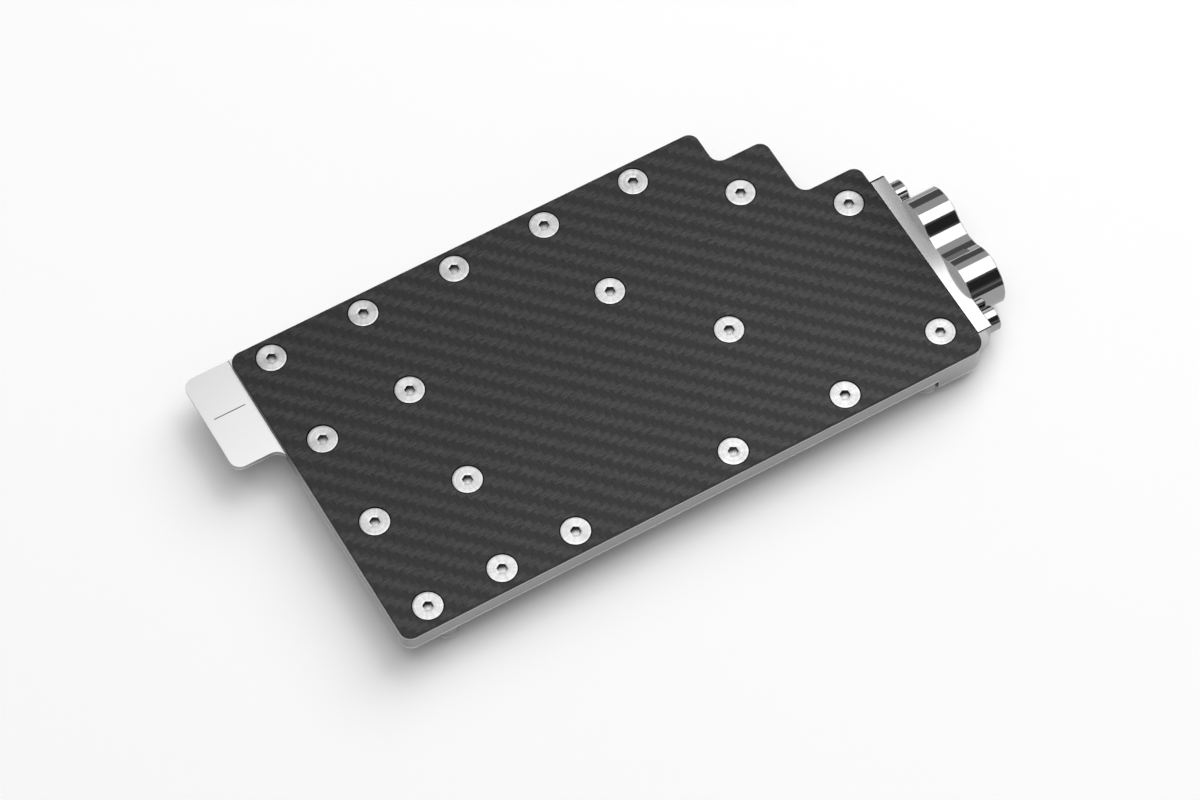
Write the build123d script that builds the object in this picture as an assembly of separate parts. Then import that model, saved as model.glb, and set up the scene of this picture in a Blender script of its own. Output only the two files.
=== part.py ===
from build123d import *
import math
import os

# Liquid cooling block for a graphics card, in millimetres.
# Origin: centre of the face that presses on the graphics chip.
# +X runs along the card towards the ports, +Y across it, +Z away from the card.

# Depths below the visible top of the facing
block_depth = 9.8
rim_depth = 6.2
thick_end_depth = 9.4
contact_depth = 7.8
pedestal_depth = 7.4
memory_land_depth = 7.6
power_land_depth = 7.9

# Layers on top of the cold plate
facing_thickness = 0.5
film_thickness = 0.1
cover_thickness = 1.2
facing_inset = 0.15
facing_edge = 0.1

# Outline of the plate, seen from above
plate_length = 173.7
plate_width = 96.3
first_step_length = 32.7
first_step_width = 11.9
second_step_length = 17.6
second_step_width = 31.3
corner_radius = 3.0
port_corner_radius = 4.4
rim_chamfer = 0.3

# Centre of the graphics chip from the plate's front left corner
chip_from_left = 66.5
chip_from_front = 50.5

# Tab at the left end, flush with the cold plate's top and rear edge
tab_length = 13.8
tab_width = 30.1
tab_thickness = 1.35
tab_root_radius = 3.5
tab_line_length = 9.1
tab_line_width = 0.25
tab_line_depth = 0.15
tab_line_from_tip = 2.4
tab_line_from_rear = 13.9

# Countersunk cover screws
head_radius = 4.0
head_recess = 0.1
head_rim = 0.25
shank_radius = 2.0
cover_screw_length = 6.0
cover_socket_flats = 2.5
cover_socket_depth = 1.3
facing_hole_radius = 4.28
cone_gap = 0.04
thread_gap = 0.05
tip_chamfer = 0.4

# Places of the cover screws
left_screw_margin = 9.8
front_screw_margin = 6.2
rear_screw_margin = 5.8
right_screw_margin = 8.4
left_screw_rows = 3
rear_screw_count = 5
rear_screw_from_step = 22.0
front_screws_from_left_column = (21.6, 43.2)
front_screws_from_right_column = (65.4, 31.6)
port_corner_screw_margin = 10.0
second_step_screw_margin = 9.1
first_step_screw_from_right = 31.6
first_step_screw_from_rear = 23.1
chip_screw_half_span = 30.1
chip_screw_rear = 13.5
chip_screw_front = 17.3
feed_screw_x = 51.2
feed_screw_y = -12.3

# Coolant channels, milled from the top of the cold plate
channel_depth = 3.1
channel_radius = 3.0
fin_pocket_depth = 4.0
fin_height = 2.3
fin_thickness = 0.45
fin_pitch = 1.0
fin_field_length = 37.0
fin_field_width = 33.0
gutter_width = 6.0
gutter_radius = 1.5
land_length = 4.0
feed_width = 12.0
feed_offset = 0.5
front_channel_width = 11.0
sump_length = 8.0
sump_from_right = 21.7
post_radius = 4.6

# Gasket, measured from the plate's edges to the middle of its groove
gasket_from_left = 17.0
gasket_from_front = 12.4
gasket_from_rear = 12.4
gasket_from_right = 16.2
gasket_step_from_right = 38.7
gasket_step_from_rear = 34.3
gasket_radius = 5.0
gasket_width = 1.7
gasket_edge = 0.3
groove_width = 2.0
groove_depth = 1.2
groove_wall = 2.6

# Seal rings around the inner screws
ring_radius = 3.4
ring_groove_width = 1.1
ring_groove_depth = 0.8

# Jet plate and its spacer frame above the fins
jet_plate_thickness = 0.5
jet_plate_overhang = 3.0
jet_slot_width = 1.5
jet_slot_margin = 4.0
spacer_wall = 2.4
insert_gap = 0.1

# Terminal block with two fused barrels
flange_length = 54.3
flange_height = 9.6
flange_thickness = 4.3
flange_chamfer = 0.3
terminal_from_front = 31.75
barrel_radius = 8.4
barrel_length = 9.75
barrel_pitch = 21.1
barrel_centre_depth = 4.7
barrel_chamfer = 0.35
port_bore_radius = 5.9
port_bore_depth = 9.3
port_lead_in = 0.7
passage_width = 10.0
passage_height = 2.8
passage_depth = 5.6
port_seal_wall = 0.6
port_seal_width = 1.0
port_seal_depth = 0.75
port_seal_gap = 0.1

# Cap screws that hold the terminal block
cap_head_radius = 3.5
cap_head_height = 3.9
cap_head_chamfer = 0.35
cap_socket_flats = 3.0
cap_socket_depth = 2.0
cap_screw_length = 8.0
cap_screw_half_span = 22.7
cap_screw_depth = 5.0
cap_hole_gap = 0.2
cap_hole_spare = 0.6

# Underside of the cold plate
pedestal_length = 41.0
pedestal_width = 49.0
contact_length = 30.0
contact_width = 27.0
pedestal_radius = 2.0
land_radius = 1.0
thick_end_length = 14.7
sump_pad_length = 33.0
sump_pad_wall = 4.0
standoff_radius = 3.2
standoff_hole_radius = 1.03
standoff_hole_depth = 3.4
chip_standoff_span = 58.4
edge_standoff_margin = 3.3
left_standoff_from_left = 13.2
middle_standoff_from_left = 75.2
middle_standoff_margin = 4.3
front_standoff_from_right = 16.7
rear_standoff_from_step = 7.0

# Thermal pads under the cold plate
memory_chip_length = 14.0
memory_chip_width = 12.0
memory_chip_gap = 1.5
memory_chips_in_row = 3
memory_pad_thickness = 1.0
memory_pad_inset = 0.5
memory_side_offset = 31.0
memory_front_margin = 19.0
memory_rear_margin = 14.3
power_pad_length = 7.0
power_pad_width = 58.0
power_pad_thickness = 1.0
power_left_from_left = 22.5
power_right_from_right = 46.2
choke_pad_length = 5.5
choke_pad_thickness = 0.6
choke_pad_gap = 1.0

# Levels in the part's own frame
top_z = contact_depth
facing_z = top_z - facing_thickness
film_z = facing_z - film_thickness
seam_z = film_z - cover_thickness
rim_z = top_z - rim_depth
card_z = top_z - block_depth
thick_end_z = top_z - thick_end_depth
pedestal_z = top_z - pedestal_depth
memory_land_z = top_z - memory_land_depth
power_land_z = top_z - power_land_depth
channel_z = seam_z - channel_depth
fin_floor_z = seam_z - fin_pocket_depth
fin_top_z = fin_floor_z + fin_height
jet_top_z = fin_top_z + jet_plate_thickness
head_z = top_z - head_recess
cone_z = head_z - head_rim
port_z = top_z - barrel_centre_depth
passage_z = top_z - passage_depth
sump_z = passage_z - passage_height / 2
cap_z = top_z - cap_screw_depth

# Edges and lines that several pieces share
left_x = -chip_from_left
right_x = left_x + plate_length
front_y = -chip_from_front
rear_y = front_y + plate_width
first_step_x = right_x - first_step_length
first_step_y = rear_y - first_step_width
second_step_x = right_x - second_step_length
second_step_y = rear_y - second_step_width
terminal_y = front_y + terminal_from_front
port_ys = (terminal_y - barrel_pitch / 2, terminal_y + barrel_pitch / 2)
cap_ys = (terminal_y - cap_screw_half_span, terminal_y + cap_screw_half_span)
flange_x = right_x + flange_thickness
barrel_x = flange_x + barrel_length
fins_half_x = fin_field_length / 2
fins_half_y = fin_field_width / 2
jet_half_x = fins_half_x + jet_plate_overhang
sump_right_x = right_x - sump_from_right
sump_left_x = sump_right_x - sump_length
feed_y = feed_offset
groove_to_channel = groove_width / 2 + groove_wall
chamber_left_x = left_x + gasket_from_left + groove_to_channel
chamber_front_y = front_y + gasket_from_front + groove_to_channel
chamber_rear_y = rear_y - gasket_from_rear - groove_to_channel


def span_box(x0, x1, y0, y1, z0, z1):
    """Box between two values on each axis."""
    return Pos((x0 + x1) / 2, (y0 + y1) / 2, (z0 + z1) / 2) * Box(x1 - x0, y1 - y0, z1 - z0)


def slab(sketch, z0, z1):
    """Flat sketch pulled up from one level to another."""
    return Pos(0, 0, z0) * extrude(sketch, z1 - z0)


def pad(x, y, length, width, radius, z0, z1):
    """Upright block with rounded corners about a centre point."""
    return slab(Pos(x, y) * RectangleRounded(length, width, radius), z0, z1)


def patch(x0, x1, y0, y1, radius):
    """Flat rectangle with rounded corners between two values on each axis."""
    return Pos((x0 + x1) / 2, (y0 + y1) / 2) * RectangleRounded(x1 - x0, y1 - y0, radius)


def upright(radius, z0, z1):
    """Cylinder along Z between two levels."""
    return Pos(0, 0, (z0 + z1) / 2) * Cylinder(radius, z1 - z0)


def upright_cone(low_radius, high_radius, z0, z1):
    """Cone along Z between two levels."""
    return Pos(0, 0, (z0 + z1) / 2) * Cone(low_radius, high_radius, z1 - z0)


def hexagon(flats, z0, z1):
    """Hexagonal prism with two flats that face along X."""
    return slab(RegularPolygon(flats / math.sqrt(3), 6, rotation=30), z0, z1)


def along_x(solid, x, y, z):
    """Turns a solid that points up so that it points along +X, and places it."""
    return Pos(x, y, z) * Rot(0, 90, 0) * solid


def rounded_face(points, radii):
    """Closed face through corner points, each corner with its own radius."""
    return make_face(FilletPolyline(*points, radius=radii, close=True))


def plate_outline(inset=0.0):
    """Stepped outline of the block, drawn in by an inset."""
    points = [
        (left_x + inset, front_y + inset),
        (right_x - inset, front_y + inset),
        (right_x - inset, second_step_y - inset),
        (second_step_x - inset, second_step_y - inset),
        (second_step_x - inset, first_step_y - inset),
        (first_step_x - inset, first_step_y - inset),
        (first_step_x - inset, rear_y - inset),
        (left_x + inset, rear_y - inset),
    ]
    out = corner_radius - inset
    hollow = corner_radius + inset
    return rounded_face(points, [out, port_corner_radius - inset, out, hollow, out, hollow, out, out])


def tab_outline():
    """Tab with rounded outer corners and a hollow corner where it leaves the plate."""
    tip_x = left_x - tab_length
    low_y = rear_y - tab_width
    root_x = left_x + 2 * corner_radius
    corners = [(tip_x, low_y), (root_x, low_y), (root_x, rear_y), (tip_x, rear_y)]
    blade = rounded_face(corners, [corner_radius, 0, 0, corner_radius])
    half = tab_root_radius / 2
    root = Pos(left_x - half, low_y - half) * Rectangle(tab_root_radius, tab_root_radius)
    hollow = Pos(left_x - tab_root_radius, low_y - tab_root_radius) * Circle(tab_root_radius)
    return blade + (root - hollow)


def gasket_band(width):
    """Flat closed band of a given width along the gasket's path."""
    low_x = left_x + gasket_from_left
    high_x = right_x - gasket_from_right
    step_x = right_x - gasket_step_from_right
    low_y = front_y + gasket_from_front
    step_y = rear_y - gasket_step_from_rear
    high_y = rear_y - gasket_from_rear

    def loop(grow):
        points = [
            (low_x - grow, low_y - grow),
            (high_x + grow, low_y - grow),
            (high_x + grow, step_y + grow),
            (step_x + grow, step_y + grow),
            (step_x + grow, high_y + grow),
            (low_x - grow, high_y + grow),
        ]
        out = gasket_radius + grow
        return rounded_face(points, [out, out, out, gasket_radius - grow, out, out])

    return loop(width / 2) - loop(-width / 2)


def inner_screw_places():
    """Places of the four screws that stand inside the gasket."""
    return [
        (-chip_screw_half_span, chip_screw_rear),
        (-chip_screw_half_span, -chip_screw_front),
        (chip_screw_half_span, chip_screw_rear),
        (feed_screw_x, feed_screw_y),
    ]


def cover_screw_places():
    """Places of all the countersunk screws."""
    left = left_x + left_screw_margin
    right = right_x - right_screw_margin
    front = front_y + front_screw_margin
    rear = rear_y - rear_screw_margin
    rise = (rear - front) / left_screw_rows
    rear_pitch = (first_step_x - rear_screw_from_step - left) / (rear_screw_count - 1)
    places = [(left, front + i * rise) for i in range(left_screw_rows)]
    places += [(left + i * rear_pitch, rear) for i in range(rear_screw_count)]
    places += [(left + offset, front) for offset in front_screws_from_left_column]
    places += [(right - offset, front) for offset in front_screws_from_right_column]
    places += [(right, front_y + port_corner_screw_margin)]
    places += [(right, second_step_y - second_step_screw_margin)]
    places += [(right_x - first_step_screw_from_right, rear_y - first_step_screw_from_rear)]
    return places + inner_screw_places()


def standoff_places():
    """Places of the bosses that the card is screwed to."""
    half = chip_standoff_span / 2
    low = front_y + edge_standoff_margin
    high = rear_y - edge_standoff_margin
    middle_x = left_x + middle_standoff_from_left
    places = [(x, y) for x in (-half, half) for y in (-half, half)]
    places += [(left_x + left_standoff_from_left, y) for y in (low, high)]
    places += [(middle_x, front_y + middle_standoff_margin), (middle_x, rear_y - middle_standoff_margin)]
    return places + [(right_x - front_standoff_from_right, low), (first_step_x - rear_standoff_from_step, high)]


def memory_rows():
    """Centre, and number of chips along X and Y, of each row of memory chips."""
    count = memory_chips_in_row
    return {
        "left": (-memory_side_offset, 0, 1, count),
        "right": (memory_side_offset, 0, 1, count),
        "front": (0, front_y + memory_front_margin, count, 1),
        "rear": (0, rear_y - memory_rear_margin, count, 1),
    }


def memory_pitch(size):
    return size + memory_chip_gap


def power_columns():
    """X centres of the power stage pads and of the choke pads beside them, at each end."""
    step = power_pad_length / 2 + choke_pad_gap + choke_pad_length / 2
    low_x = left_x + power_left_from_left
    high_x = right_x - power_right_from_right
    return {"left": (low_x, low_x - step), "right": (high_x, high_x + step)}


def cone_radius(z):
    """Radius of the countersink that clears a screw's cone at a level."""
    return head_radius - (cone_z - z) + cone_gap


def channel_sketch():
    """Plan of the feed channel and the return channel, less the posts left standing."""
    feed_low = feed_y - feed_width / 2
    feed_high = feed_y + feed_width / 2
    front_high = chamber_front_y + front_channel_width
    gutter_y = fins_half_y + gutter_width
    chamber_right_x = -fins_half_x - land_length
    r = channel_radius
    feed = patch(jet_half_x, sump_right_x, feed_low, feed_high, gutter_radius)
    chamber = patch(chamber_left_x, chamber_right_x, chamber_front_y, chamber_rear_y, r)
    front = patch(chamber_left_x, sump_right_x, chamber_front_y, front_high, r)
    rear_link = patch(chamber_right_x - 2 * r, fins_half_x, fins_half_y, gutter_y, gutter_radius)
    front_link = patch(-fins_half_x, fins_half_x, front_high - r, -fins_half_y, gutter_radius)
    plan = feed + chamber + front + rear_link + front_link
    for x, y in inner_screw_places():
        plan -= Pos(x, y) * Circle(post_radius)
    return plan


def fins():
    """Thin upright fins over the graphics chip."""
    count = int(fin_field_length / fin_pitch)
    first = -(count - 1) * fin_pitch / 2
    half = fin_thickness / 2
    return [
        span_box(x - half, x + half, -fins_half_y, fins_half_y, fin_floor_z, fin_top_z)
        for x in (first + i * fin_pitch for i in range(count))
    ]


def sump_spans():
    """Low and high Y of the two sumps, one at each port."""
    half = passage_width / 2
    return [(port_ys[0] - half, port_ys[0] + half), (port_ys[1] - half, feed_y + feed_width / 2)]


def cold_plate_blank():
    """Body, tab and everything that stands out of the underside."""
    body = slab(plate_outline(), rim_z, seam_z)
    body = chamfer(body.edges().group_by(Axis.Z)[0], rim_chamfer)
    body += slab(tab_outline(), seam_z - tab_thickness, seam_z)

    # Below the rim every raised part starts above the chamfer, so that it closes onto the side
    raised_z = rim_z + 2 * rim_chamfer
    end_x = right_x - thick_end_length
    thick_end = slab(plate_outline(), thick_end_z, raised_z)
    thick_end = chamfer(thick_end.edges().group_by(Axis.Z)[0], rim_chamfer)
    body += thick_end & span_box(end_x, right_x, front_y, rear_y, thick_end_z, raised_z)
    low_y = sump_spans()[0][0] - sump_pad_wall
    high_y = sump_spans()[1][1] + sump_pad_wall
    sump_pad = patch(right_x - sump_pad_length, end_x + 2 * channel_radius, low_y, high_y, channel_radius)
    body += slab(sump_pad, thick_end_z, raised_z)
    body += pad(0, 0, pedestal_length, pedestal_width, pedestal_radius, pedestal_z, raised_z)
    body += pad(0, 0, contact_length, contact_width, pedestal_radius, 0, pedestal_z)
    for x, y, along, across in memory_rows().values():
        body += memory_land(x, y, along, across)
    for power_x, _ in power_columns().values():
        body += pad(power_x, 0, power_pad_length, power_pad_width, land_radius, power_land_z, rim_z)
    for x, y in standoff_places():
        body += Pos(x, y, 0) * upright(standoff_radius, card_z, raised_z)
        body -= Pos(x, y, 0) * upright(standoff_hole_radius, card_z, card_z + standoff_hole_depth)
    return body


def memory_land(x, y, along, across):
    """Raised land under one row of memory chips."""
    length = along * memory_pitch(memory_chip_length) - memory_chip_gap
    width = across * memory_pitch(memory_chip_width) - memory_chip_gap
    return pad(x, y, length, width, land_radius, memory_land_z, rim_z)


def cold_plate():
    body = cold_plate_blank()

    # Tapped holes end at the rim's level, so that they stay closed under the lands
    for x, y in cover_screw_places():
        body -= Pos(x, y, 0) * upright(shank_radius, rim_z, seam_z)
        low_z = seam_z - (cone_radius(seam_z) - shank_radius)
        body -= Pos(x, y, 0) * upright_cone(shank_radius, cone_radius(seam_z), low_z, seam_z)

    # Channels, fins and the recess for the jet plate
    body -= slab(channel_sketch(), channel_z, seam_z)
    pocket_y = fins_half_y + gutter_width
    body -= slab(patch(-fins_half_x, fins_half_x, -pocket_y, pocket_y, gutter_radius), fin_floor_z, seam_z)
    recess_x = jet_half_x + insert_gap
    recess_y = fins_half_y + insert_gap
    body -= span_box(-recess_x, recess_x, -recess_y, recess_y, fin_top_z, seam_z)
    body += fins()

    # Sumps, and the passages from them to the end face
    for y, (low, high) in zip(port_ys, sump_spans()):
        body -= slab(patch(sump_left_x, sump_right_x, low, high, channel_radius), sump_z, seam_z)
        passage_x = (sump_left_x + sump_right_x) / 2
        passage = extrude(SlotOverall(passage_width, passage_height, rotation=90), right_x - passage_x)
        body -= along_x(passage, passage_x, y, passage_z)
    for y in cap_ys:
        depth = cap_screw_length - flange_thickness + cap_hole_spare
        body -= along_x(upright(shank_radius, -depth, 0), right_x, y, cap_z)

    # Grooves for the gasket and for the rings around the inner screws
    body -= slab(gasket_band(groove_width), seam_z - groove_depth, seam_z)
    ring = Circle(ring_radius + ring_groove_width / 2) - Circle(ring_radius - ring_groove_width / 2)
    for x, y in inner_screw_places():
        body -= slab(Pos(x, y) * ring, seam_z - ring_groove_depth, seam_z)

    # Engraved line across the tab
    line_x = left_x - tab_length + tab_line_from_tip
    line_y = rear_y - tab_line_from_rear
    line = Pos(line_x + tab_line_length / 2, line_y) * SlotOverall(tab_line_length, tab_line_width)
    body -= slab(line, seam_z - tab_line_depth, seam_z)
    return body


def cover_plate():
    body = slab(plate_outline(), seam_z, film_z)
    for x, y in cover_screw_places():
        body -= Pos(x, y, 0) * upright_cone(cone_radius(seam_z), cone_radius(film_z), seam_z, film_z)
    return body


def top_layer(low_z, high_z):
    """Thin sheet over the cover plate with a round hole for each screw."""
    body = slab(plate_outline(facing_inset), low_z, high_z)
    for x, y in cover_screw_places():
        body -= Pos(x, y, 0) * upright(facing_hole_radius, low_z, high_z)
    return body


def carbon_facing():
    body = top_layer(facing_z, top_z)
    rim = body.faces().sort_by(Axis.Z)[-1].outer_wire().edges()
    return chamfer(rim, facing_edge)


def cover_screws():
    """Countersunk hex socket screws, heads just below the facing."""
    tip_z = head_z - cover_screw_length
    radius = shank_radius - thread_gap
    screw = upright(head_radius, cone_z, head_z)
    screw += upright_cone(shank_radius, head_radius, cone_z - head_radius + shank_radius, cone_z)
    screw += upright(radius, tip_z + tip_chamfer, cone_z)
    screw += upright_cone(radius - tip_chamfer, radius, tip_z, tip_z + tip_chamfer)
    screw -= hexagon(cover_socket_flats, head_z - cover_socket_depth, head_z)
    return [Pos(x, y, 0) * screw for x, y in cover_screw_places()]


def cover_gasket():
    body = slab(gasket_band(gasket_width), seam_z - groove_depth, seam_z)
    edges = body.edges().group_by(Axis.Z)
    return chamfer(edges[0] + edges[-1], gasket_edge)


def inner_screw_seals():
    cord_radius = ring_groove_depth / 2
    ring = Torus(ring_radius, cord_radius)
    return [Pos(x, y, seam_z - cord_radius) * ring for x, y in inner_screw_places()]


def jet_plate():
    body = span_box(-jet_half_x, jet_half_x, -fins_half_y, fins_half_y, fin_top_z, jet_top_z)
    slot = SlotOverall(fin_field_length - 2 * jet_slot_margin, jet_slot_width)
    return body - slab(slot, fin_top_z, jet_top_z)


def jet_spacer():
    """Frame between jet plate and cover, open towards the feed channel."""
    frame = span_box(-jet_half_x, jet_half_x, -fins_half_y, fins_half_y, jet_top_z, seam_z)
    inner_x = jet_half_x - spacer_wall
    inner_y = fins_half_y - spacer_wall
    frame -= pad(0, 0, 2 * inner_x, 2 * inner_y, gutter_radius, jet_top_z, seam_z)
    low = feed_y - feed_width / 2
    high = feed_y + feed_width / 2
    return frame - span_box(inner_x - spacer_wall, jet_half_x, low, high, jet_top_z, seam_z)


def barrel_outline():
    """Two round barrels joined by hollow waists that meet the facing's level."""
    half_pitch = barrel_pitch / 2
    waist = barrel_centre_depth
    hollow = (half_pitch**2 + waist**2 - barrel_radius**2) / (2 * (barrel_radius - waist))
    share = barrel_radius / (barrel_radius + hollow)
    touch_y = half_pitch * (1 - share)
    touch_z = (waist + hollow) * share
    plan = Rectangle(2 * touch_z, 2 * touch_y)
    for side in (-1, 1):
        plan -= Pos(side * (waist + hollow), 0) * Circle(hollow)
        plan += Pos(0, side * half_pitch) * Circle(barrel_radius)
    return plan


def seal_band(gap):
    """Racetrack band around a passage, wider by a gap on each side."""
    inner = port_seal_wall + port_seal_gap - gap
    outer = port_seal_wall + port_seal_gap + port_seal_width + gap
    band = SlotOverall(passage_width + 2 * outer, passage_height + 2 * outer, rotation=90)
    return band - SlotOverall(passage_width + 2 * inner, passage_height + 2 * inner, rotation=90)


def terminal_block():
    low_z = top_z - flange_height
    half = flange_length / 2
    body = span_box(right_x, flange_x, terminal_y - half, terminal_y + half, low_z, top_z)
    rims = body.edges().filter_by(lambda edge: edge.center().X > right_x + flange_chamfer)
    body = chamfer(rims, flange_chamfer)
    barrels = extrude(barrel_outline(), barrel_length + flange_chamfer)
    barrels = chamfer(barrels.edges().group_by(Axis.Z)[-1], barrel_chamfer)
    body += along_x(barrels, flange_x - flange_chamfer, terminal_y, port_z)
    floor_x = barrel_x - port_bore_depth
    for y in port_ys:
        body -= along_x(upright(port_bore_radius, 0, port_bore_depth), floor_x, y, port_z)
        mouth = upright_cone(port_bore_radius, port_bore_radius + port_lead_in, -port_lead_in, 0)
        body -= along_x(mouth, barrel_x, y, port_z)
        passage = extrude(SlotOverall(passage_width, passage_height, rotation=90), floor_x - right_x)
        body -= along_x(passage, right_x, y, passage_z)
        body -= along_x(extrude(seal_band(port_seal_gap), port_seal_depth), right_x, y, passage_z)
    for y in cap_ys:
        body -= along_x(upright(shank_radius + cap_hole_gap, 0, flange_thickness), right_x, y, cap_z)
    return body


def port_seals():
    ring = extrude(seal_band(0), port_seal_depth)
    return [along_x(ring, right_x, y, passage_z) for y in port_ys]


def terminal_screws():
    """Hex socket cap screws that stand on the flange."""
    radius = shank_radius - thread_gap
    head = upright(cap_head_radius, 0, cap_head_height)
    head = chamfer(head.edges().group_by(Axis.Z)[-1], cap_head_chamfer)
    screw = head + upright(radius, -cap_screw_length + tip_chamfer, 0)
    screw += upright_cone(radius - tip_chamfer, radius, -cap_screw_length, -cap_screw_length + tip_chamfer)
    screw -= hexagon(cap_socket_flats, cap_head_height - cap_socket_depth, cap_head_height)
    return [along_x(screw, flange_x, y, cap_z) for y in cap_ys]


def memory_pads(x, y, along, across):
    """One pad for each memory chip of a row."""
    length = memory_chip_length - 2 * memory_pad_inset
    width = memory_chip_width - 2 * memory_pad_inset
    low_z = memory_land_z - memory_pad_thickness
    step_x = memory_pitch(memory_chip_length)
    step_y = memory_pitch(memory_chip_width)
    xs = [x + (i - (along - 1) / 2) * step_x for i in range(along)]
    ys = [y + (i - (across - 1) / 2) * step_y for i in range(across)]
    return [span_box(a - length / 2, a + length / 2, b - width / 2, b + width / 2, low_z, memory_land_z)
            for a in xs for b in ys]


def strip_pad(x, length, high_z, thickness):
    """Long pad across the card."""
    half = power_pad_width / 2
    return span_box(x - length / 2, x + length / 2, -half, half, high_z - thickness, high_z)


def all_nodes():
    nodes = {
        "carbon_facing": carbon_facing(),
        "adhesive_film": top_layer(film_z, facing_z),
        "cover_plate": cover_plate(),
        "cold_plate": cold_plate(),
        "cover_screws": cover_screws(),
        "cover_gasket": cover_gasket(),
        "inner_screw_seals": inner_screw_seals(),
        "jet_plate": jet_plate(),
        "jet_spacer": jet_spacer(),
        "terminal_block": terminal_block(),
        "port_seals": port_seals(),
        "terminal_screws": terminal_screws(),
    }
    for side, row in memory_rows().items():
        nodes["memory_pads_" + side] = memory_pads(*row)
    for side, (power_x, choke_x) in power_columns().items():
        nodes["power_stage_pad_" + side] = strip_pad(
            power_x, power_pad_length, power_land_z, power_pad_thickness
        )
        nodes["choke_pad_" + side] = strip_pad(choke_x, choke_pad_length, rim_z, choke_pad_thickness)
    return nodes


def as_one_shape(piece):
    """A list of separate solids becomes one group."""
    return Compound(children=piece) if isinstance(piece, list) else piece


os.makedirs("parts", exist_ok=True)
for name, piece in all_nodes().items():
    export_step(as_one_shape(piece), f"parts/{name}.step")
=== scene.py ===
"""Looks of the graphics card water block: materials, screws, port threads, studio and camera."""
import math

import bmesh
import bpy
from mathutils import Matrix, Vector


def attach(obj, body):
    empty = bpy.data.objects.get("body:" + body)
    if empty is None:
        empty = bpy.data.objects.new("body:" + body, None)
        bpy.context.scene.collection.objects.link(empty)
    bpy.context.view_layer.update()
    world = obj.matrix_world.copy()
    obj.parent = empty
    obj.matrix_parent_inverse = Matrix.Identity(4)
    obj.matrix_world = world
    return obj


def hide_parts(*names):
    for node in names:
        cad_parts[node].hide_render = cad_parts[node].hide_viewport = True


MM = 0.001

# Sizes and places of the CAD parts, in millimetres
FLOOR_Z = -5.3
SCREW_TOP = 7.7
SCREW_HEAD_RADIUS = 4.0
SCREW_RIM = 0.25
SCREW_SHANK_RADIUS = 1.95
SCREW_LENGTH = 6.0
SCREW_TIP = 0.4
SOCKET_FLATS = 2.5
SOCKET_DEPTH = 1.3
SCREW_PLACES = (
    (-56.7, -44.3), (-56.7, -16.23), (-56.7, 11.83),
    (-56.7, 40.0), (-29.4, 40.0), (-2.1, 40.0), (25.2, 40.0), (52.5, 40.0),
    (-35.1, -44.3), (-13.5, -44.3), (33.4, -44.3), (67.2, -44.3),
    (98.8, -40.5), (98.8, 5.4), (75.6, 22.7),
    (-30.1, 13.5), (-30.1, -17.3), (30.1, 13.5), (51.2, -12.3),
)
PORT_YS = (-29.3, -8.2)
PORT_Z = 3.1
PORT_BORE_RADIUS = 5.9
PLATE_LEFT = -66.5
PLATE_CORNER = 3.0
RIM_LOW = 1.6
SEAM_Z = 6.0
THICK_END_X = 92.5
THICK_END_Z = -1.6
TAB_LOW = 4.65
TAB_LINE_Y = 31.9
FLANGE_X = 111.5
FLANGE_REAR = 8.4

# Rectangle that holds every screw hole of the facing and none of its outer edge
HOLE_FIELD_MIDDLE = (21.0, -2.15)
HOLE_FIELD_HALF = (82.2, 46.55)

# Pipe thread of the ports, in millimetres
THREAD_PITCH = 1.337
THREAD_START_X = 113.6
THREAD_TURNS = 4.6
THREAD_HEIGHT = 0.5
THREAD_HALF_FOOT = 0.46
THREAD_HALF_CREST = 0.12
THREAD_SUNK = 0.02

# Twill weave of the facing, in millimetres, and how far its tows' edges wander and fray, in tow widths
TOW_WIDTH = 1.78
WEAVE_X = 1.33
WEAVE_Y = 0.04
TOW_WANDER = 0.25
TOW_FRAY = 0.45

# Looks of the tows along X and of the tows along Y; the lighter tone of the X tows is painted sheen
TOW_TONES_AND_SHEEN = (0.0231, 0.008)
TOW_STREAKS = (0.1, 0.034)
TOW_ROUGHNESS = (0.3, 0.37)

# Tones of the facing's cut edges; the left edge's lighter tone is painted light, and the screw holes' near
# black walls are painted shade for the dark ring around each screw head
FACING_EDGE_TONE = 0.078
FACING_LEFT_EDGE_PAINTED_LIGHT = 0.13
HOLE_WALL_PAINTED_SHADE = 0.001

# Tones of the two platings
SATIN_TONE = 0.349
POLISHED_TONE = 0.48

# Painted highlight strip along the cold plate's lower edges and along the tab's lower edge: its middle above
# the edge and half its height
STRIP_RISE = 0.45
STRIP_HALF = 0.3
TAB_STRIP_RISE = 0.15
TAB_STRIP_HALF = 0.2

# Groove of the tab's engraved line, darkened as painted shade: half a width and half a depth that hold it,
# and its middle under the top
GROOVE_HALF_WIDTH = 0.35
GROOVE_MIDDLE = 0.3
GROOVE_HALF_DEPTH = 0.27

# Half the height of the dark seam between the cover and the cold plate
SEAM_HALF = 0.1

# Stretch of the left wall over which its painted shade darkens towards the tab
WALL_SHADE_START_Y = 3.0
WALL_SHADE_END_Y = 14.0

# Small step past an edge or a level, in millimetres
NUDGE = 0.05

# Camera of the photograph: place in metres and directions in the part's frame, lens in millimetres
CAMERA_PLACE = (-0.30540, -0.56135, 1.09885)
CAMERA_FORWARD = (0.25106, 0.43407, -0.86519)
CAMERA_RIGHT = (0.86596, -0.50011, 0.0004)
CAMERA_LENS = 145.7


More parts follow.
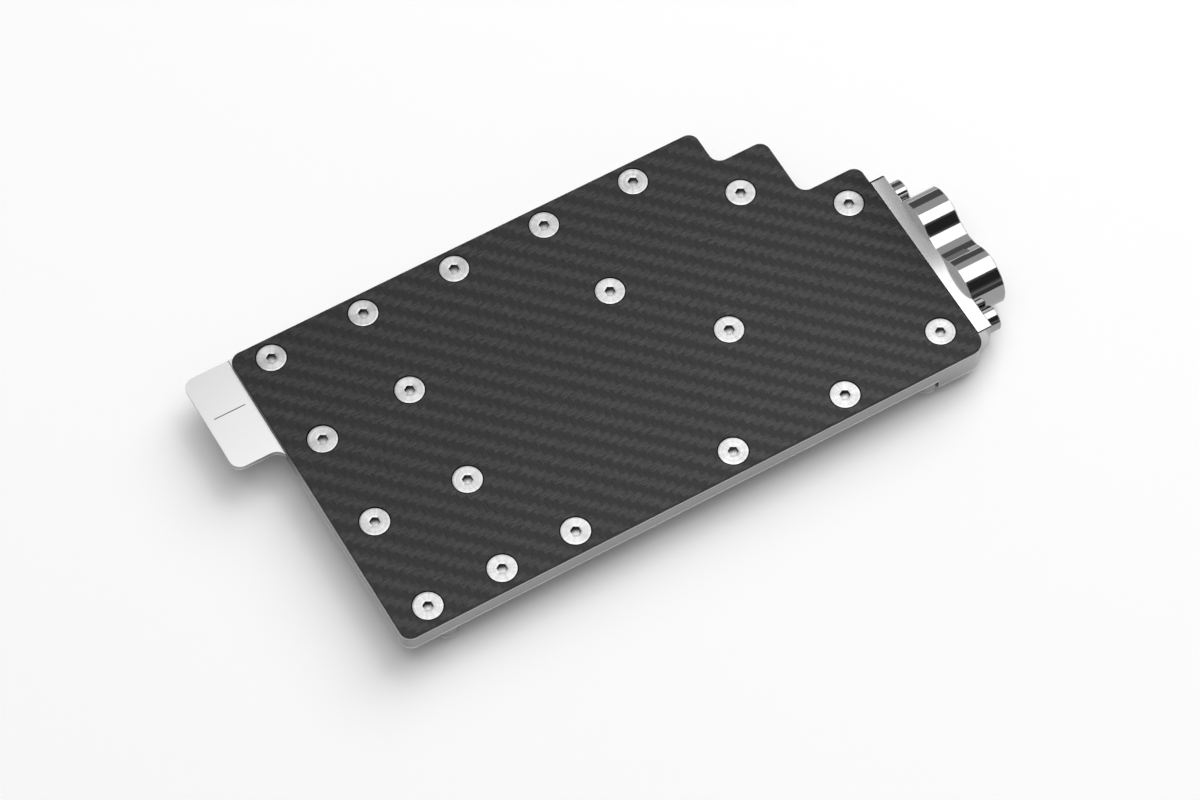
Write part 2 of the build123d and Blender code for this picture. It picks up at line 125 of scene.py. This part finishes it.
class Nodes:
    """The node tree of one material or world, with short calls to add to it."""

    def __init__(self, owner):
        owner.use_nodes = True
        self.owner = owner
        self.tree = owner.node_tree
        self.tree.nodes.clear()

    def add(self, kind, inputs=None, **settings):
        node = self.tree.nodes.new(kind)
        for key, value in settings.items():
            setattr(node, key, value)
        for key, value in (inputs or {}).items():
            self.set(node.inputs[key], value)
        return node

    def set(self, socket, value):
        if isinstance(value, bpy.types.NodeSocket):
            self.tree.links.new(value, socket)
        else:
            socket.default_value = value

    def math(self, operation, *values):
        return self.add("ShaderNodeMath", dict(enumerate(values)), operation=operation).outputs[0]

    def vector_math(self, operation, values):
        return self.add("ShaderNodeVectorMath", dict(enumerate(values)), operation=operation).outputs

    def vector(self, operation, *values):
        return self.vector_math(operation, values)["Vector"]

    def measure(self, operation, *values):
        """A length or dot product of vectors."""
        return self.vector_math(operation, values)["Value"]

    def product(self, first, *others):
        for other in others:
            first = self.math("MULTIPLY", first, other)
        return first

    def total(self, first, *others):
        for other in others:
            first = self.math("ADD", first, other)
        return first

    def combine(self, x, y, z):
        return self.add("ShaderNodeCombineXYZ", {0: x, 1: y, 2: z}).outputs[0]

    def split(self, vector):
        return self.add("ShaderNodeSeparateXYZ", {0: vector}).outputs

    def place(self):
        """The point on the object, in metres in the part's frame."""
        return self.add("ShaderNodeTexCoord").outputs["Object"]

    def stretched_place(self, x, y, z):
        """The point scaled by its own number along each axis, for streaks."""
        return self.vector("MULTIPLY", self.place(), (x, y, z))

    def facing(self):
        """How far the surface faces up: 1 for up, 0 for upright, -1 for down."""
        return self.split(self.add("ShaderNodeNewGeometry").outputs["Normal"])[2]

    def noise(self, vector, scale, detail=2.0, roughness=0.5):
        inputs = {"Vector": vector, "Scale": scale, "Detail": detail, "Roughness": roughness}
        return self.add("ShaderNodeTexNoise", inputs).outputs["Fac"]

    def between(self, value, low, high, start=0.0, end=1.0):
        """A number that goes from low to high as the value goes from start to end, and no further."""
        inputs = {"Value": value, "From Min": start, "From Max": end, "To Min": low, "To Max": high}
        return self.add("ShaderNodeMapRange", inputs).outputs["Result"]

    def choose(self, factor, first, second):
        """The first number where the factor is 0, the second where it is 1."""
        return self.add("ShaderNodeMix", {"Factor": factor, "A": first, "B": second}).outputs["Result"]

    def where(self, mask, number):
        """The number where the mask is 1, and 1 where it is 0."""
        return self.between(mask, 1.0, number)

    def near(self, value, middle, reach):
        """1 where the value lies within this reach in millimetres of the middle, 0 elsewhere."""
        return self.math("COMPARE", value, middle * MM, reach * MM)

    def above(self, value, level):
        """1 where the value is more than this level in millimetres, 0 elsewhere."""
        return self.math("GREATER_THAN", value, level * MM)

    def below(self, value, level):
        """1 where the value is less than this level in millimetres, 0 elsewhere."""
        return self.math("LESS_THAN", value, level * MM)

    def grey(self, value):
        return self.combine(value, value, value)

    def bump(self, height, distance, strength):
        inputs = {"Height": height, "Distance": distance, "Strength": strength}
        return self.add("ShaderNodeBump", inputs).outputs["Normal"]

    def show(self, shader, output="ShaderNodeOutputMaterial"):
        """Puts a shader on the surface; returns the material or the world."""
        self.add(output, {"Surface": shader.outputs[0]})
        return self.owner

    def principled(self, inputs):
        return self.show(self.add("ShaderNodeBsdfPrincipled", inputs))


def material_nodes(name):
    return Nodes(bpy.data.materials.new(name))


def on_left_wall(n, x):
    """1 on the left wall, which the facing, the cover and the cold plate share, 0 elsewhere."""
    return n.near(x, PLATE_LEFT, 0.2)


def tow_position(n, coordinate, origin, wander, fibres):
    """The tow that a point lies in, and the part of the tow's width that the point has passed."""
    position = n.math("MULTIPLY_ADD", coordinate, 1 / (TOW_WIDTH * MM), -origin / TOW_WIDTH)
    wandered = n.between(wander, -TOW_WANDER, TOW_WANDER)
    frayed = n.between(fibres, -TOW_FRAY, TOW_FRAY)
    position = n.total(position, wandered, frayed)
    tow = n.math("FLOOR", position)
    return tow, n.math("SUBTRACT", position, tow)


def twill(n, x, y):
    """Two over two twill: tows along X and Y that each pass over two others.

    Gives four numbers: 1 where a tow along Y is on top and 0 where one along X is, the fibres of the tow on
    top, how high it arches there, and how far inside its two sides the point lies.
    """
    fibres_x = n.noise(n.stretched_place(420.0, 2900.0, 1.0), 1.0, 3.0, 0.6)
    fibres_y = n.noise(n.stretched_place(2900.0, 420.0, 1.0), 1.0, 3.0, 0.6)
    wander_x = n.noise(n.place(), 900.0)
    wander_y = n.noise(n.vector("ADD", n.place(), (0.3, 0.1, 0.2)), 900.0)
    tow_x, in_x = tow_position(n, x, WEAVE_X, wander_x, fibres_x)
    tow_y, in_y = tow_position(n, y, WEAVE_Y, wander_y, fibres_y)

    step = n.math("FLOORED_MODULO", n.total(tow_x, tow_y), 4.0)
    over_y = n.math("GREATER_THAN", step, 1.5)
    along_x = n.total(step, in_x)
    along_y = n.math("SUBTRACT", n.total(step, in_y), 2.0)
    arch = n.math("SINE", n.math("MULTIPLY", n.choose(over_y, along_x, along_y), math.pi / 2))
    from_middle = n.math("ABSOLUTE", n.math("MULTIPLY_ADD", n.choose(over_y, in_y, in_x), 2.0, -1.0))
    inside = n.math("SUBTRACT", 1.0, n.math("POWER", from_middle, 3.0))
    return over_y, n.choose(over_y, fibres_x, fibres_y), arch, inside


def facing_edges(n, x, y):
    """1 on the facing's outer edge, and 1 on the walls of its screw holes."""
    upright = n.math("LESS_THAN", n.math("ABSOLUTE", n.facing()), 0.5)
    in_field_x = n.near(x, HOLE_FIELD_MIDDLE[0], HOLE_FIELD_HALF[0])
    in_field_y = n.near(y, HOLE_FIELD_MIDDLE[1], HOLE_FIELD_HALF[1])
    hole_wall = n.product(upright, in_field_x, in_field_y)
    return n.math("SUBTRACT", upright, hole_wall), hole_wall


def carbon_material():
    """Carbon twill, whose tows along X are painted lighter as painted sheen, and are a little glossier than
    those along Y.
    """
    n = material_nodes("carbon_twill")
    x, y = n.split(n.place())[:2]
    over_y, fibres, arch, inside = twill(n, x, y)
    streak = n.math("SUBTRACT", fibres, 0.5)
    cloud = n.noise(n.place(), 28.0)
    # Painted sheen: the X tows take the lighter of the two tones
    tone = n.total(n.choose(over_y, *TOW_TONES_AND_SHEEN), n.product(streak, n.choose(over_y, *TOW_STREAKS)))
    # Painted shade darkens each tow towards its sides, and painted light and shade along the arch lightens
    # the middles of the X tows and the ends of the Y tows
    tone = n.product(
        tone,
        n.between(inside, 0.93, 1.02),
        n.choose(over_y, n.between(arch, 0.8, 1.1), n.between(arch, 1.3, 0.92)),
        n.between(cloud, 0.85, 1.15),
    )
    tone = n.math("MAXIMUM", tone, 0.002)
    outer_edge, hole_wall = facing_edges(n, x, y)
    # Painted light: the facing's left edge is lighter than its other edges
    edge_tone = n.choose(on_left_wall(n, x), FACING_EDGE_TONE, FACING_LEFT_EDGE_PAINTED_LIGHT)
    height = n.product(n.total(arch, 0.4), inside)
    # Painted shade: the screw holes' walls are near black
    return n.principled({
        "Base Color": n.grey(n.choose(outer_edge, n.choose(hole_wall, tone, HOLE_WALL_PAINTED_SHADE), edge_tone)),
        "Roughness": n.math("MULTIPLY_ADD", streak, 0.18, n.choose(over_y, *TOW_ROUGHNESS)),
        "Specular IOR Level": 0.187,
        "Normal": n.bump(n.math("MULTIPLY_ADD", fibres, 0.25, height), 0.03 * MM, 0.35),
    })


def left_wall_painted_shade(n, x, y, front, rear):
    """Painted light and shade on the left wall: lighter at the front and darker towards the tab, standing in
    for the tab's shadow that the wall mirrors.
    """
    shade = n.between(y, front, rear, WALL_SHADE_START_Y * MM, WALL_SHADE_END_Y * MM)
    return n.choose(on_left_wall(n, x), 1.0, shade)


def plated_material():
    """Bead blasted and plated metal: fine grain, faint milling marks along X and a painted highlight along
    the lower edges.
    """
    n = material_nodes("satin_plating")
    x, y, z = n.split(n.place())
    up = n.facing()
    grain = n.noise(n.place(), 6500.0, 2.0, 0.6)
    marks = n.noise(n.stretched_place(90.0, 2600.0, 2600.0), 1.0)
    cloud = n.noise(n.place(), 22.0, 3.0)

    facing_up = n.math("GREATER_THAN", up, 0.6)
    facing_down = n.math("LESS_THAN", up, -0.6)
    on_tab = n.below(x, PLATE_LEFT - NUDGE)
    # Painted light: the tab's top face is lighter than the rest of the plating
    painted_light_tab_top = n.product(facing_up, n.below(x, PLATE_LEFT + PLATE_CORNER))
    # Painted shade in the groove of the tab's engraved line
    painted_groove_shade = n.product(
        on_tab,
        n.near(y, TAB_LINE_Y, GROOVE_HALF_WIDTH),
        n.near(z, SEAM_Z - GROOVE_MIDDLE, GROOVE_HALF_DEPTH),
    )
    # Painted highlight: a bright strip along the lower edges of the walls, of the thick end and of the tab,
    # and on the standoffs' bottoms
    strip = n.choose(
        n.above(x, THICK_END_X),
        n.near(z, RIM_LOW + STRIP_RISE, STRIP_HALF),
        n.near(z, THICK_END_Z + STRIP_RISE, STRIP_HALF),
    )
    strip = n.math("MAXIMUM", strip, n.below(z, THICK_END_Z - NUDGE))
    painted_edge_highlight = n.choose(on_tab, strip, n.near(z, TAB_LOW + TAB_STRIP_RISE, TAB_STRIP_HALF))
    seam = n.product(n.above(z, SEAM_Z - SEAM_HALF), n.math("SUBTRACT", 1.0, on_tab))
    tone = n.product(
        n.between(cloud, 0.97, 1.03),
        n.between(marks, 0.975 * SATIN_TONE, 1.025 * SATIN_TONE),
        n.where(painted_edge_highlight, 2.15),
        n.where(painted_groove_shade, 0.1),
        n.where(n.choose(facing_up, seam, 0.0), 0.4),
        n.where(painted_light_tab_top, 1.45),
        # Painted shade: downward faces are darker, which also deepens the shadow under the plate
        n.where(facing_down, 0.55),
        left_wall_painted_shade(n, x, y, 1.14, 0.5),
    )
    unevenness = n.math("MULTIPLY_ADD", marks, 0.15, n.product(cloud, 0.85))
    return n.principled({
        "Base Color": n.grey(tone),
        "Metallic": 1.0,
        "Roughness": n.between(unevenness, 0.204, 0.288),
        "Normal": n.bump(n.math("MULTIPLY_ADD", marks, 0.15, grain), 0.003 * MM, 0.5),
    })


def polished_material(name, rough, flange_rough=None):
    """Polished plating with a trace of the polishing marks; the terminal's flange is rougher and less
    bright, yet painted a little lighter, with a painted dark reflection line along its rear top edge.
    """
    n = material_nodes(name)
    marks = n.noise(n.stretched_place(3800.0, 160.0, 160.0), 1.0)
    cloud = n.noise(n.place(), 60.0)
    tone = n.between(cloud, 0.985 * POLISHED_TONE, 1.015 * POLISHED_TONE)
    if flange_rough is not None:
        x, y = n.split(n.place())[:2]
        on_barrel = n.above(x, FLANGE_X - NUDGE)
        facing_up = n.math("GREATER_THAN", n.facing(), 0.3)
        rear_edge_width = 0.65
        # Painted light and painted reflection: the flange is a little lighter, and a near black line runs
        # along its rear top edge
        painted_dark_rear_edge = n.product(facing_up, n.above(y, FLANGE_REAR - rear_edge_width))
        tone = n.product(tone, n.choose(on_barrel, n.choose(painted_dark_rear_edge, 1.1, 0.03), 1.0))
        rough = n.choose(on_barrel, flange_rough, rough)
    return n.principled({
        "Base Color": n.grey(tone),
        "Metallic": 1.0,
        "Roughness": n.product(n.between(marks, 0.9, 1.15), rough),
        "Normal": n.bump(marks, 0.0001 * MM, 0.2),
    })


def brushed_material(name, base, rough, upward_shade=1.0):
    """Sheet metal brushed along X, with its upward faces darkened by a factor, which on the cover is painted
    shade seen in the gaps around the screw heads.
    """
    n = material_nodes(name)
    x, y, z = n.split(n.place())
    lines = n.noise(n.stretched_place(60.0, 4200.0, 4200.0), 1.0, 3.0, 0.65)
    upward_faces = n.math("GREATER_THAN", n.facing(), 0.3)
    tone = n.product(
        n.between(lines, 0.88 * base, 1.1 * base),
        # Painted shade: upward faces darkened by the given factor
        n.where(upward_faces, upward_shade),
        n.where(n.near(z, SEAM_Z, SEAM_HALF), 0.4),
        left_wall_painted_shade(n, x, y, 1.25, 0.55),
    )
    return n.principled({
        "Base Color": n.grey(tone),
        "Metallic": 1.0,
        "Roughness": n.between(lines, 0.75 * rough, 1.3 * rough),
        "Normal": n.bump(lines, 0.004 * MM, 0.4),
    })


def turned_material():
    """Steel screw head with the rings that a lathe leaves, read from each screw's own centre.

    Each head also has its own soft fan of painted light and dark, a painted reflection which repeats after
    half a turn, and its rim's side and hex socket are painted dark as shade.
    """
    n = material_nodes("turned_steel")
    local = n.add("ShaderNodeAttribute", attribute_name="from_centre").outputs["Vector"]
    x, y, z = n.split(local)
    flat = n.combine(x, y, 0.0)
    radius = n.measure("LENGTH", flat)
    centre = n.split(n.vector("SUBTRACT", n.place(), local))
    seed = n.product(n.total(centre[0], centre[1]), 370.0)
    rings = n.noise(n.combine(n.product(radius, 6500.0), 0.37, seed), 1.0, 2.0, 0.7)
    cosine, sine = n.split(n.vector("NORMALIZE", flat))[:2]
    twice_sine = n.product(cosine, sine, 2.0)
    twice_cosine = n.math("SUBTRACT", n.product(cosine, cosine), n.product(sine, sine))
    # Painted reflection: a soft fan of light and dark on each head
    painted_fans = n.noise(n.combine(twice_cosine, twice_sine, seed), 2.0, 3.0, 0.6)

    # Painted shade: the rim's side is near black, the socket's walls are darker and its floor carries a
    # painted shadow that darkens towards +Y
    sunk = n.below(z, -0.025)
    outside = n.above(radius, 2.0)
    socket_floor = n.below(z, 0.02 - SOCKET_DEPTH)
    socket_floor_shadow = n.between(y, 1.0, 0.25, -0.1 * MM, 1.0 * MM)
    sunk_painted_shade = n.choose(outside, n.choose(socket_floor, 0.5, socket_floor_shadow), 0.015)
    tone = n.product(
        n.between(rings, 0.155, 0.515),
        n.between(painted_fans, 0.6, 1.4),
        n.choose(sunk, 1.0, sunk_painted_shade),
    )
    return n.principled({
        "Base Color": n.grey(tone),
        "Metallic": 1.0,
        "Roughness": n.between(rings, 0.28, 0.36),
        "Anisotropic": 0.75,
        "Tangent": flat,
        "Normal": n.bump(rings, 0.003 * MM, 0.5),
    })


def soft_material(name, tone, rough, tint=(1.0, 1.0, 1.0)):
    """Soft sheet, cord or plastic with a fine uneven skin."""
    n = material_nodes(name)
    skin = n.noise(n.place(), 2400.0, 3.0, 0.6)
    cloud = n.noise(n.place(), 130.0)
    shade = n.product(n.between(cloud, 0.88 * tone, 1.12 * tone), n.between(skin, 0.9, 1.1))
    return n.principled({
        "Base Color": n.vector("MULTIPLY", n.grey(shade), tint),
        "Roughness": n.between(skin, 0.9 * rough, 1.1 * rough),
        "Normal": n.bump(skin, 0.03 * MM, 0.5),
    })


def dress(node, material):
    """Puts a material in every slot of a carried-over node."""
    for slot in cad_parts[node].material_slots:
        slot.material = material


def add_piece(name, mesh, material):
    """A new piece of the object, carried by the one body."""
    piece = bpy.data.objects.new(name, mesh)
    mesh.materials.append(material)
    bpy.context.scene.collection.objects.link(piece)
    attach(piece, "root")
    return piece


def finished_mesh(name, bm):
    """The mesh of a bmesh, which is freed."""
    mesh = bpy.data.meshes.new(name)
    bm.to_mesh(mesh)
    bm.free()
    return mesh


def hexagon_radius(angle, flats):
    """Distance from the middle of a hexagon to its side; two of its corners lie on Y."""
    turn = ((angle + math.pi / 6) % (math.pi / 3)) - math.pi / 6
    return flats / 2 / math.cos(turn)


def screw_rings():
    """Shape, size and depth under the top of each ring of a cover screw, from its socket floor out and down.

    The size is a circle's radius, or how far a hexagon stands outside the socket.
    """
    head = SCREW_HEAD_RADIUS
    shank = SCREW_SHANK_RADIUS
    return (
        ("hexagon", 0.0, SOCKET_DEPTH),
        ("hexagon", 0.0, 0.06),
        ("hexagon", 0.02, 0.01),
        ("hexagon", 0.05, 0.0),
        ("circle", 2.0, 0.0),
        ("circle", 2.7, 0.0),
        ("circle", 3.4, 0.0),
        ("circle", head - 0.11, 0.0),
        ("circle", head - 0.05, 0.02),
        ("circle", head, 0.1),
        ("circle", head, SCREW_RIM),
        ("circle", shank, SCREW_RIM + head - shank),
        ("circle", shank, SCREW_LENGTH - SCREW_TIP),
        ("circle", shank - SCREW_TIP, SCREW_LENGTH),
    )


def add_screw(bm, from_centre, x, y, segments=72):
    """One cover screw, with the offset from its own centre stored on its corners."""
    centre = Vector((x, y, SCREW_TOP))

    def corner(radius, angle, depth):
        offset = Vector((radius * math.cos(angle), radius * math.sin(angle), -depth))
        made = bm.verts.new((centre + offset) * MM)
        made[from_centre] = offset * MM
        return made

    rings = []
    for shape, size, depth in screw_rings():
        ring = []
        for k in range(segments):
            angle = 2 * math.pi * k / segments
            radius = size if shape == "circle" else size + hexagon_radius(angle, SOCKET_FLATS)
            ring.append(corner(radius, angle, depth))
        rings.append(ring)
    socket_floor = corner(0, 0, SOCKET_DEPTH)
    tip = corner(0, 0, SCREW_LENGTH)
    for k in range(segments):
        after = (k + 1) % segments
        bm.faces.new((socket_floor, rings[0][k], rings[0][after]))
        bm.faces.new((tip, rings[-1][after], rings[-1][k]))
        for inner, outer in zip(rings, rings[1:]):
            bm.faces.new((inner[k], outer[k], outer[after], inner[after]))


def screws_mesh():
    """All the cover screws in one mesh."""
    bm = bmesh.new()
    from_centre = bm.verts.layers.float_vector.new("from_centre")
    for x, y in SCREW_PLACES:
        add_screw(bm, from_centre, x, y)
    bmesh.ops.recalc_face_normals(bm, faces=bm.faces)
    return finished_mesh("turned_cover_screws", bm)


def thread_mesh(port_y, segments=48):
    """Pipe thread inside one port: a ridge that winds along the bore and fades out at both ends."""
    bm = bmesh.new()
    sections = []
    for k in range(int(THREAD_TURNS * segments) + 1):
        turn = k / segments
        angle = 2 * math.pi * turn
        fade = min(1.0, turn * 3, (THREAD_TURNS - turn) * 3)
        crest = THREAD_HEIGHT * fade
        width = 0.3 + 0.7 * fade
        section = []
        for offset, inward in (
            (-THREAD_HALF_FOOT, -THREAD_SUNK),
            (-THREAD_HALF_CREST, crest),
            (THREAD_HALF_CREST, crest),
            (THREAD_HALF_FOOT, -THREAD_SUNK),
        ):
            radius = PORT_BORE_RADIUS - inward
            x = THREAD_START_X + turn * THREAD_PITCH + offset * width
            y = port_y + radius * math.cos(angle)
            z = PORT_Z + radius * math.sin(angle)
            section.append(bm.verts.new(Vector((x, y, z)) * MM))
        sections.append(section)
    for first, second in zip(sections, sections[1:]):
        for k in range(len(first)):
            after = (k + 1) % len(first)
            bm.faces.new((first[k], second[k], second[after], first[after]))
    bm.faces.new(sections[0])
    bm.faces.new(list(reversed(sections[-1])))
    bmesh.ops.recalc_face_normals(bm, faces=bm.faces)
    return finished_mesh("port_thread", bm)


def smooth(piece, degrees):
    """Smooth shading that keeps the edges sharper than this many degrees."""
    mesh = piece.data
    mesh.polygons.foreach_set("use_smooth", [True] * len(mesh.polygons))
    bpy.context.view_layer.objects.active = piece
    piece.select_set(True)
    bpy.ops.object.shade_smooth_by_angle(angle=math.radians(degrees))
    piece.select_set(False)


def rectangle(x1, x2, y1, y2):
    """The corners of a rectangle, in order around it."""
    return (x1, y1), (x2, y1), (x2, y2), (x1, y2)


def quad(name, corners, material):
    """A flat studio card or floor from its corners in millimetres."""
    bm = bmesh.new()
    bm.faces.new([bm.verts.new(Vector(corner) * MM) for corner in corners])
    mesh = finished_mesh(name, bm)
    mesh.materials.append(material)
    card = bpy.data.objects.new(name, mesh)
    bpy.context.scene.collection.objects.link(card)
    return card


def glow(name, strength, slope=None, least=0.0, most=0.0):
    """Light of a studio card, even or with a slope per metre between two limits."""
    n = material_nodes(name)
    if slope is not None:
        level = n.total(n.measure("DOT_PRODUCT", n.place(), slope), strength)
        strength = n.math("MINIMUM", n.math("MAXIMUM", level, least), most)
    return n.show(n.add("ShaderNodeEmission", {"Color": (1, 1, 1, 1), "Strength": strength}))


def studio_card(name, corners, *light):
    """A card that only polished surfaces see."""
    card = quad(name, corners, glow(name, *light))
    card.visible_camera = False
    card.visible_diffuse = False
    card.visible_shadow = False


def overhead_cards():
    """Softbox with a flag at either side, all where the block's flat top mirrors the camera's view."""
    mirrored = Vector((0.2511, 0.4341, 0.8652))
    depth = Vector((0.433, 0.751, -0.499))
    side = Vector((0.866, -0.5, 0.0))
    distance = 1200
    half_depth = 900
    for name, left, right, *light in (
        ("softbox_over", -720, 480, 2.5, depth * -8.0 + side * 9.0, 0.9, 4.2),
        ("flag_left", -1300, -720, 0.3),
        ("flag_right", 480, 1100, 0.3),
    ):
        corners = [
            mirrored * distance + depth * a + side * b
            for a, b in rectangle(-half_depth, half_depth, left, right)
        ]
        studio_card(name, corners, *light)


def band_start(z):
    """Where a band beside the ports may begin at this level, clear of what the block's top mirrors."""
    least_x = 126.0
    top_end_x = 107.6
    top_z = 7.8
    lean = 0.29
    return max(least_x, top_end_x + lean * (z - top_z))


def port_cards():
    """Bands and grounds beside the ports, which the barrels and the flange mirror as stripes."""
    far_x = 420.0
    for name, (y1, z1), (y2, z2), strength in (
        ("band_white", (7, 71), (-115, 231), 2.3),
        ("band_grey", (7, 71), (46.5, 57), 0.55),
        ("band_dark", (46.5, 57), (150, 18), 0.12),
        ("band_shade", (-115, 231), (-140, 210), 0.1),
        ("band_black", (-140, 210), (-230, 130), 0.028),
        ("band_mist", (-230, 130), (-246, 107), 0.07),
        ("band_low", (-246, 107), (-260, 72), 0.19),
        ("band_foot", (-260, 72), (-268, 4), 0.06),
    ):
        corners = [(band_start(z1), y1, z1), (far_x, y1, z1), (far_x, y2, z2), (band_start(z2), y2, z2)]
        studio_card(name, corners, strength)

    near_x = 114.0
    ground_z = FLOOR_Z + 0.1
    for name, y1, y2, *light in (
        ("ground_front", -400, -33, 0.66),
        ("ground_rear", 10, 400, 2.0, (0.0, -47.0, 0.0), 0.6, 1.6),
    ):
        corners = [(x, y, ground_z) for x, y in rectangle(near_x, far_x, y1, y2)]
        studio_card(name, corners, *light)


def seen_directly(n):
    """1 for camera, glossy and transmission rays, 0 for the light that falls on things."""
    path = n.add("ShaderNodeLightPath")
    seen = n.math("MAXIMUM", path.outputs["Is Camera Ray"], path.outputs["Is Glossy Ray"])
    return n.math("MAXIMUM", seen, path.outputs["Is Transmission Ray"])


def floor():
    """Pale floor that turns to plain white where nothing shades it."""
    n = material_nodes("studio_floor")
    haze = n.noise(n.place(), 3.0)
    diffuse = n.add("ShaderNodeBsdfDiffuse", {"Color": n.grey(n.between(haze, 0.945, 0.955))})
    lift = n.add("ShaderNodeEmission", {"Strength": n.product(seen_directly(n), 0.045)})
    both = n.add("ShaderNodeAddShader", {0: diffuse.outputs[0], 1: lift.outputs[0]})
    reach = 8000.0
    corners = [(x, y, FLOOR_Z) for x, y in rectangle(-reach, reach, -reach, reach)]
    quad("studio_floor", corners, n.show(both))


def world_light():
    """White surroundings, with a lower level for the light that they shed."""
    n = Nodes(bpy.data.worlds.new("studio"))
    shed = 0.27
    level = n.between(seen_directly(n), shed, 1.0)
    background = n.add("ShaderNodeBackground", {"Color": (1, 1, 1, 1), "Strength": level})
    bpy.context.scene.world = n.show(background, "ShaderNodeOutputWorld")


def lamp(name, place, size, power):
    """A soft square lamp aimed at the part, which polished surfaces don't see."""
    light = bpy.data.lights.new(name, "AREA")
    light.shape = "SQUARE"
    light.size = size
    light.energy = power
    made = bpy.data.objects.new(name, light)
    place = Vector(place)
    made.matrix_world = Matrix.Translation(place) @ place.to_track_quat("Z", "Y").to_matrix().to_4x4()
    made.visible_glossy = False
    bpy.context.scene.collection.objects.link(made)


def camera():
    """The photograph's camera."""
    data = bpy.data.cameras.new("camera")
    data.sensor_width = 36.0
    data.lens = CAMERA_LENS
    data.clip_start = 0.01
    data.clip_end = 100.0
    forward = Vector(CAMERA_FORWARD).normalized()
    up = Vector(CAMERA_RIGHT).cross(forward).normalized()
    right = forward.cross(up)
    turn = Matrix((right, up, -forward)).transposed().to_4x4()
    made = bpy.data.objects.new("camera", data)
    made.matrix_world = Matrix.Translation(CAMERA_PLACE) @ turn
    bpy.context.scene.collection.objects.link(made)
    bpy.context.scene.camera = made


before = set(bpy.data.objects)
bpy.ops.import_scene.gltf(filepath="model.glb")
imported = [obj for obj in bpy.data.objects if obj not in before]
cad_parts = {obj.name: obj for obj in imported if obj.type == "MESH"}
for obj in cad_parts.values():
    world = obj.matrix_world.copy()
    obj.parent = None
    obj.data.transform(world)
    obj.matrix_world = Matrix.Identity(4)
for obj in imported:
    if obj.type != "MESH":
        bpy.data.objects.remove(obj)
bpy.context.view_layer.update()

camera()

dress("carbon_facing", carbon_material())
dress("adhesive_film", soft_material("adhesive", 0.02, 0.6))
dress("cover_plate", brushed_material("brushed_cover", 0.42, 0.3, 0.01))
dress("cold_plate", plated_material())
dress("jet_plate", brushed_material("brushed_jet", 0.58, 0.26))
dress("terminal_block", polished_material("polished_terminal", 0.065, 0.16))
dress("terminal_screws", polished_material("polished_screws", 0.065))
rubber = soft_material("black_rubber", 0.018, 0.55)
for name in ("cover_gasket", "inner_screw_seals", "port_seals"):
    dress(name, rubber)
dress("jet_spacer", soft_material("black_plastic", 0.03, 0.45))
pad = soft_material("thermal_pad_grey", 0.22, 0.85, (0.86, 0.93, 1.0))
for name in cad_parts:
    if "_pad" in name:
        dress(name, pad)

screws = add_piece("turned_cover_screws", screws_mesh(), turned_material())
smooth(screws, 28)
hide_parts("cover_screws")

thread_finish = polished_material("polished_thread", 0.12)
for name, y in zip(("front_port_thread", "rear_port_thread"), PORT_YS):
    smooth(add_piece(name, thread_mesh(y), thread_finish), 40)

floor()
overhead_cards()
port_cards()
world_light()
lamp("key", (1.7, 0.9, 1.9), 2.4, 50.0)
lamp("top", (0.0, 0.0, 2.2), 2.4, 21.0)

bpy.context.scene.view_settings.view_transform = "Standard"
